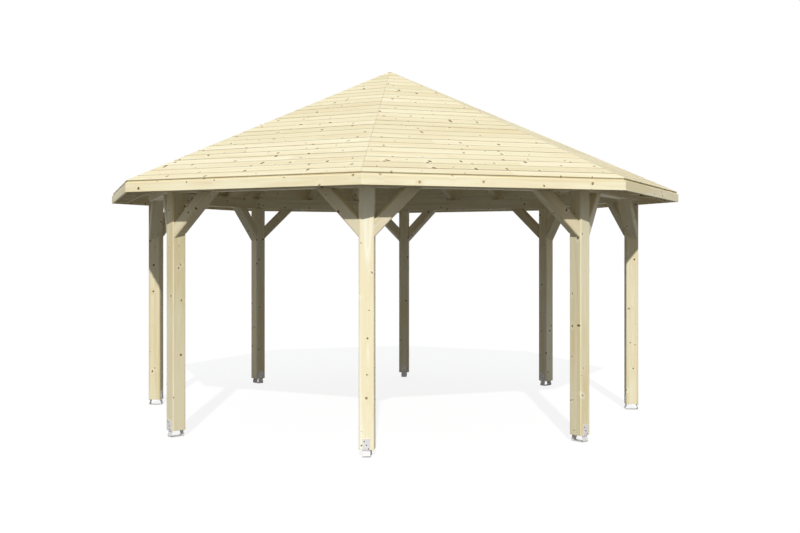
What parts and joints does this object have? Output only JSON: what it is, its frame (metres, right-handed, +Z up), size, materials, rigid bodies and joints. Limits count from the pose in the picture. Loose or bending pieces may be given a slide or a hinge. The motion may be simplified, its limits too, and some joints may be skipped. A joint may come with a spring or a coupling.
{
  "type": "garden gazebo",
  "caption": "Open octagonal timber gazebo: square posts on steel anchors carry eaves beams, knee braces, rafters and a low boarded pyramid roof.",
  "frame": {"origin": "on the ground, under the roof's apex, at the centre of the circle of posts", "axes": "+Z up; post 1 stands at -Y and the posts are numbered counterclockwise seen from above"},
  "size_m": [5.96, 5.96, 3.5173],
  "materials": {
    "post_timber": "planed pale spruce, untreated, with small knots",
    "beam_timber": "planed pale spruce, untreated, with small knots",
    "brace_timber": "planed pale spruce, untreated, with small knots",
    "rafter_timber": "planed pale spruce, untreated, with small knots",
    "roof_boards": "planed pale spruce, untreated, with small knots",
    "fascia_timber": "planed pale spruce, untreated, with small knots",
    "galvanised_steel": "dull hot-dip galvanised"
  },
  "bodies": {
    "root": {"post_1": "post_timber", "post_2": "post_timber", "post_3": "post_timber", "post_4": "post_timber", "post_5": "post_timber", "post_6": "post_timber", "post_7": "post_timber", "post_8": "post_timber", "eaves_beam_1": "beam_timber", "eaves_beam_2": "beam_timber", "eaves_beam_3": "beam_timber", "eaves_beam_4": "beam_timber", "eaves_beam_5": "beam_timber", "eaves_beam_6": "beam_timber", "eaves_beam_7": "beam_timber", "eaves_beam_8": "beam_timber", "brace_pair_1": "brace_timber", "brace_pair_2": "brace_timber", "brace_pair_3": "brace_timber", "brace_pair_4": "brace_timber", "brace_pair_5": "brace_timber", "brace_pair_6": "brace_timber", "brace_pair_7": "brace_timber", "brace_pair_8": "brace_timber", "roof_panel_1": "roof_boards", "roof_panel_2": "roof_boards", "roof_panel_3": "roof_boards", "roof_panel_4": "roof_boards", "roof_panel_5": "roof_boards", "roof_panel_6": "roof_boards", "roof_panel_7": "roof_boards", "roof_panel_8": "roof_boards", "fascia_board_1": "fascia_timber", "fascia_board_2": "fascia_timber", "fascia_board_3": "fascia_timber", "fascia_board_4": "fascia_timber", "fascia_board_5": "fascia_timber", "fascia_board_6": "fascia_timber", "fascia_board_7": "fascia_timber", "fascia_board_8": "fascia_timber", "hip_rafters": "rafter_timber", "jack_rafters": "rafter_timber", "apex_block": "rafter_timber", "post_anchors": "post_timber"}
  },
  "joints": []
}
